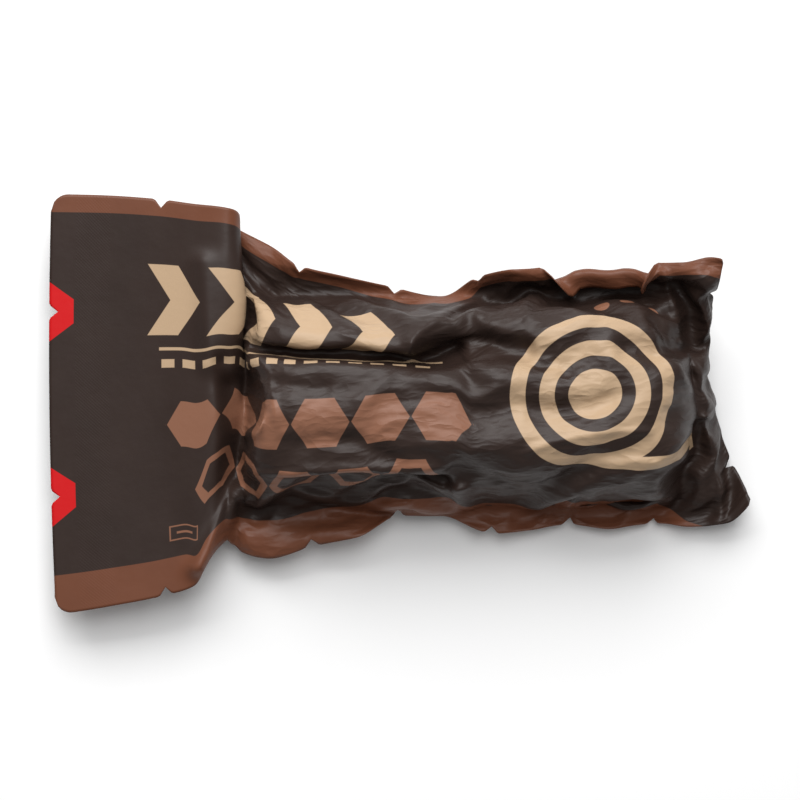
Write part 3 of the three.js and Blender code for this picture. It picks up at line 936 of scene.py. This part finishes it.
def outlined(distance, line):
    """Distance to a line of some width just inside a shape's edge."""
    return distance.most(-(distance + line))


def hexagons(u, v, first, area):
    """Distance to the edges of a row of hexagons."""
    x, y = abs((u - first).repeated(HEXAGON_PITCH)), abs(v - area[0][1])
    slanted = x * math.cos(HEXAGON_TILT) + y * math.sin(HEXAGON_TILT)
    return slanted.most(y) - HEXAGON_REACH


def print_masks(u, v, narrow_band):
    """Where the bands, the tear marks, the tan design and the brown design are printed.

    The wide band is cut back towards the tail, which paints shade where the band turns down.
    """
    # The wide band slims away towards the tail. The film colour left there is painted shade, where
    # the band turns down.
    start, span, change = WIDE_BAND_SHADE_TAPER
    shade_slimming = u.ramp(start, span) * change
    start, span, change = NARROW_BAND_FLARE
    flare = u.ramp(start, span) * change
    inner_edge = POUCH_WIDTH / MM - narrow_band
    bands = (v + shade_slimming - WIDE_BAND).least(-(v + flare - inner_edge))

    low, high = (
        (u - TEAR_REACH).most(abs(v - centre / MM) + u * TEAR_SLOPE - TEAR_HALF)
        for centre in FLAP_NOTCHES
    )
    tears = low.least(high)

    lean = abs(v - ARROW_AREA[0][1]) * ARROW_LEAN
    arrows = abs((u + lean - ARROW_FIRST).repeated(ARROW_PITCH)) - ARROW_HALF
    dashes = abs((u - DASH_FIRST).repeated(DASH_PITCH)) - DASH_HALF
    distance = (u - RING_MIDDLE[0]).far(v - RING_MIDDLE[1])
    rings = abs((distance - RING_FIRST).repeated(RING_PITCH)) - RING_HALF
    tan = arrows.most(box(u, v, ARROW_AREA)).least(
        box(u, v, LINE_AREA),
        dashes.most(box(u, v, DASH_AREA)),
        rings.most(distance - RINGS_REACH).least(distance - RING_CORE),
        box(u, v, STRIP_AREA),
        box(u, v, STRIP_END_AREA),
    )

    upper = hexagons(u, v, UPPER_FIRST, UPPER_AREA)
    lower = outlined(hexagons(u, v, LOWER_FIRST, LOWER_AREA), HEXAGON_LINE)
    dots = (u - DOT_FIRST).repeated(DOT_PITCH).far(v - DOT_AREA[0][1]) - DOT_RADIUS
    brown = upper.most(box(u, v, UPPER_AREA)).least(
        lower.most(box(u, v, LOWER_AREA)),
        dots.most(box(u, v, DOT_AREA)),
        outlined(box(u, v, LABEL_AREA), LABEL_LINE),
        box(u, v, LABEL_DASH_AREA),
    )
    return bands, tears, tan, brown


# The flap's seal: where it lies along the film, its ribs' pitch and the blur of its ends, all in
# millimetres.
SEAL = (8.8, 20.3)
SEAL_PITCH = 1.1
SEAL_BLUR = 0.4

# The film's noises, each with its waves over a metre and its detail, and its gloss.
WEAR_NOISE = (60, 4)
GLOSS_NOISE = (180, 3)
GRAIN_NOISE = (420, 2)
SWELL_NOISE = (90, 3)
PATCH_NOISE = (45, 2)
GLOSS_CHANGE = 0.12
SMOOTHEST = 0.38
SPECULAR = 0.25

# The film's relief in millimetres, too fine for the mesh: the seal's ribs, grain, soft swells, and
# narrow crests along a slant, which start beyond the flap. Crests give their waves over a metre,
# stretched along the slant, and their height.
RELIEF = 1 * MM
RIB_HEIGHT = 0.012
GRAIN_HEIGHT = 0.03
SWELL_HEIGHT = 0.15
CREST_NOISES = ((120, 2.2), (260, 0.9))
CREST_DETAIL = 1.5
CREST_STRETCH = 0.45
CREST_PATCHES = 1.6
CREASE_SLANT = math.radians(25)
CRESTS_START = (62, 12.5)


def film_material(name, narrow_band, printed):
    """Laminate film with its bands, and the printed design on top where there is one."""
    material = bpy.data.materials.new(name)
    material.use_nodes = True
    tree = material.node_tree
    shader = tree.nodes["Principled BSDF"]
    uv_map = tree.nodes.new("ShaderNodeUVMap")
    uv_map.uv_map = "flat_film"
    place = uv_map.outputs["UV"]
    split = tree.nodes.new("ShaderNodeSeparateXYZ")
    tree.links.new(place, split.inputs[0])
    u = Field(tree, split.outputs["X"]) * (1 / MM)
    v = Field(tree, split.outputs["Y"]) * (1 / MM)

    def noise(scale, detail, space=place):
        node = tree.nodes.new("ShaderNodeTexNoise")
        node.inputs["Scale"].default_value = scale
        node.inputs["Detail"].default_value = detail
        tree.links.new(space, node.inputs["Vector"])
        return Field(tree, node.outputs["Fac"])

    def blend(share, under, over):
        node = tree.nodes.new("ShaderNodeMix")
        node.data_type = "RGBA"
        tree.links.new(share.socket, node.inputs["Factor"])
        for entry, value in ((node.inputs["A"], under), (node.inputs["B"], over)):
            if isinstance(value, tuple):
                entry.default_value = (*value, 1)
            else:
                tree.links.new(value, entry)
        return node.outputs["Result"]

    wear = noise(*WEAR_NOISE)
    bands, tears, tan, brown = print_masks(u, v, narrow_band)
    color = blend(wear, FILM_DARK, FILM_LIGHT)
    # The bands. Beyond the wide band's end at the tail, the film colour is painted shade for the
    # band turned down.
    color = blend(bands.inside(BLUR), color, blend(wear, BAND_DARK, BAND_LIGHT))
    if printed:
        color = blend(brown.inside(BLUR) * BROWN_COVER, color, BROWN_INK)
        color = blend(tan.inside(BLUR) * TAN_COVER, color, TAN_INK)
        color = blend(tears.inside(BLUR), color, RED_INK)
    tree.links.new(color, shader.inputs["Base Color"])
    shader.inputs["Specular IOR Level"].default_value = SPECULAR
    gloss = noise(*GLOSS_NOISE) * GLOSS_CHANGE + SMOOTHEST
    tree.links.new(gloss.socket, shader.inputs["Roughness"])

    seal = (abs(u - sum(SEAL) / 2) - (SEAL[1] - SEAL[0]) / 2).inside(SEAL_BLUR)
    turn = 2 * math.pi / SEAL_PITCH
    ribs = (u * turn).node("SINE") * (v * turn).node("SINE") * seal
    slanted = tree.nodes.new("ShaderNodeMapping")
    slanted.inputs["Rotation"].default_value = (0, 0, -CREASE_SLANT)
    slanted.inputs["Scale"].default_value = (CREST_STRETCH, 1, 1)
    tree.links.new(place, slanted.inputs["Vector"])

    def crests(scale, height):
        """Narrow crests along the slant, with smooth film between them."""
        return -abs(noise(scale, CREST_DETAIL, slanted.outputs["Vector"]) - 0.5) * height

    fine = crests(*CREST_NOISES[0]) + crests(*CREST_NOISES[1])
    fine = fine * u.ramp(*CRESTS_START) * (noise(*PATCH_NOISE) * CREST_PATCHES)
    height = ribs * RIB_HEIGHT + noise(*GRAIN_NOISE) * GRAIN_HEIGHT
    height = height + noise(*SWELL_NOISE) * SWELL_HEIGHT + fine
    bump = tree.nodes.new("ShaderNodeBump")
    bump.inputs["Distance"].default_value = RELIEF
    bump.inputs["Strength"].default_value = 1
    tree.links.new(height.socket, bump.inputs["Height"])
    tree.links.new(bump.outputs["Normal"], shader.inputs["Normal"])
    return material


def plain_material(name, color, roughness):
    material = bpy.data.materials.new(name)
    material.use_nodes = True
    shader = material.node_tree.nodes["Principled BSDF"]
    shader.inputs["Base Color"].default_value = (*color, 1)
    shader.inputs["Roughness"].default_value = roughness
    return material


points, flat = film_points()
front_film, back_film = build_films(points, flat)
roll = build_roll(points)
front_film.data.materials.append(film_material("printed_laminate", FRONT_NARROW_BAND, True))
back_film.data.materials.append(film_material("plain_laminate", BACK_NARROW_BAND, False))
roll.data.materials.append(plain_material("elastic_knit", KNIT_COLOR, KNIT_ROUGHNESS))
for piece, node, slot in (
    (front_film, "front_film", "printed_film"),
    (back_film, "back_film", "plain_film"),
    (roll, "bandage_roll", "bandage"),
):
    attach(piece, "root")
    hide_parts(node)

# The floor, the lights and the camera. A light has its place, its size and its power in watts, and
# points at the middle of the floor.
FLOOR_SIZE = 6
FLOOR_COLOR = (0.93, 0.93, 0.93)
FLOOR_ROUGHNESS = 0.9
WORLD_STRENGTH = 0.28
LIGHTS = {
    "key": ((-0.15, 0.85, 0.8), (1.1, 0.6), 13.5),
    "overhead": ((0.1, 0.5, 1.3), (0.8, 0.8), 9),
}
CAMERA_PLACE = (-0.0001, 0.0013, 0.91)
CAMERA_LENS = 121.4

bpy.ops.mesh.primitive_plane_add(size=FLOOR_SIZE, location=(0, 0, 0))
floor = bpy.context.object
floor.name = "floor"
floor.data.materials.append(plain_material("floor_paper", FLOOR_COLOR, FLOOR_ROUGHNESS))

world = bpy.context.scene.world or bpy.data.worlds.new("studio")
bpy.context.scene.world = world
world.use_nodes = True
background = world.node_tree.nodes["Background"]
background.inputs["Color"].default_value = (1, 1, 1, 1)
background.inputs["Strength"].default_value = WORLD_STRENGTH

for name, (place, size, power) in LIGHTS.items():
    light = bpy.data.lights.new(name, "AREA")
    light.shape = "RECTANGLE"
    light.size, light.size_y = size
    light.energy = power
    lamp = bpy.data.objects.new(name, light)
    bpy.context.scene.collection.objects.link(lamp)
    lamp.location = place
    lamp.rotation_euler = (-Vector(place)).to_track_quat("-Z", "Y").to_euler()

camera_data = bpy.data.cameras.new("camera")
camera_data.lens = CAMERA_LENS
camera = bpy.data.objects.new("camera", camera_data)
bpy.context.scene.collection.objects.link(camera)
camera.location = CAMERA_PLACE
bpy.context.scene.camera = camera
bpy.context.scene.view_settings.view_transform = "Standard"
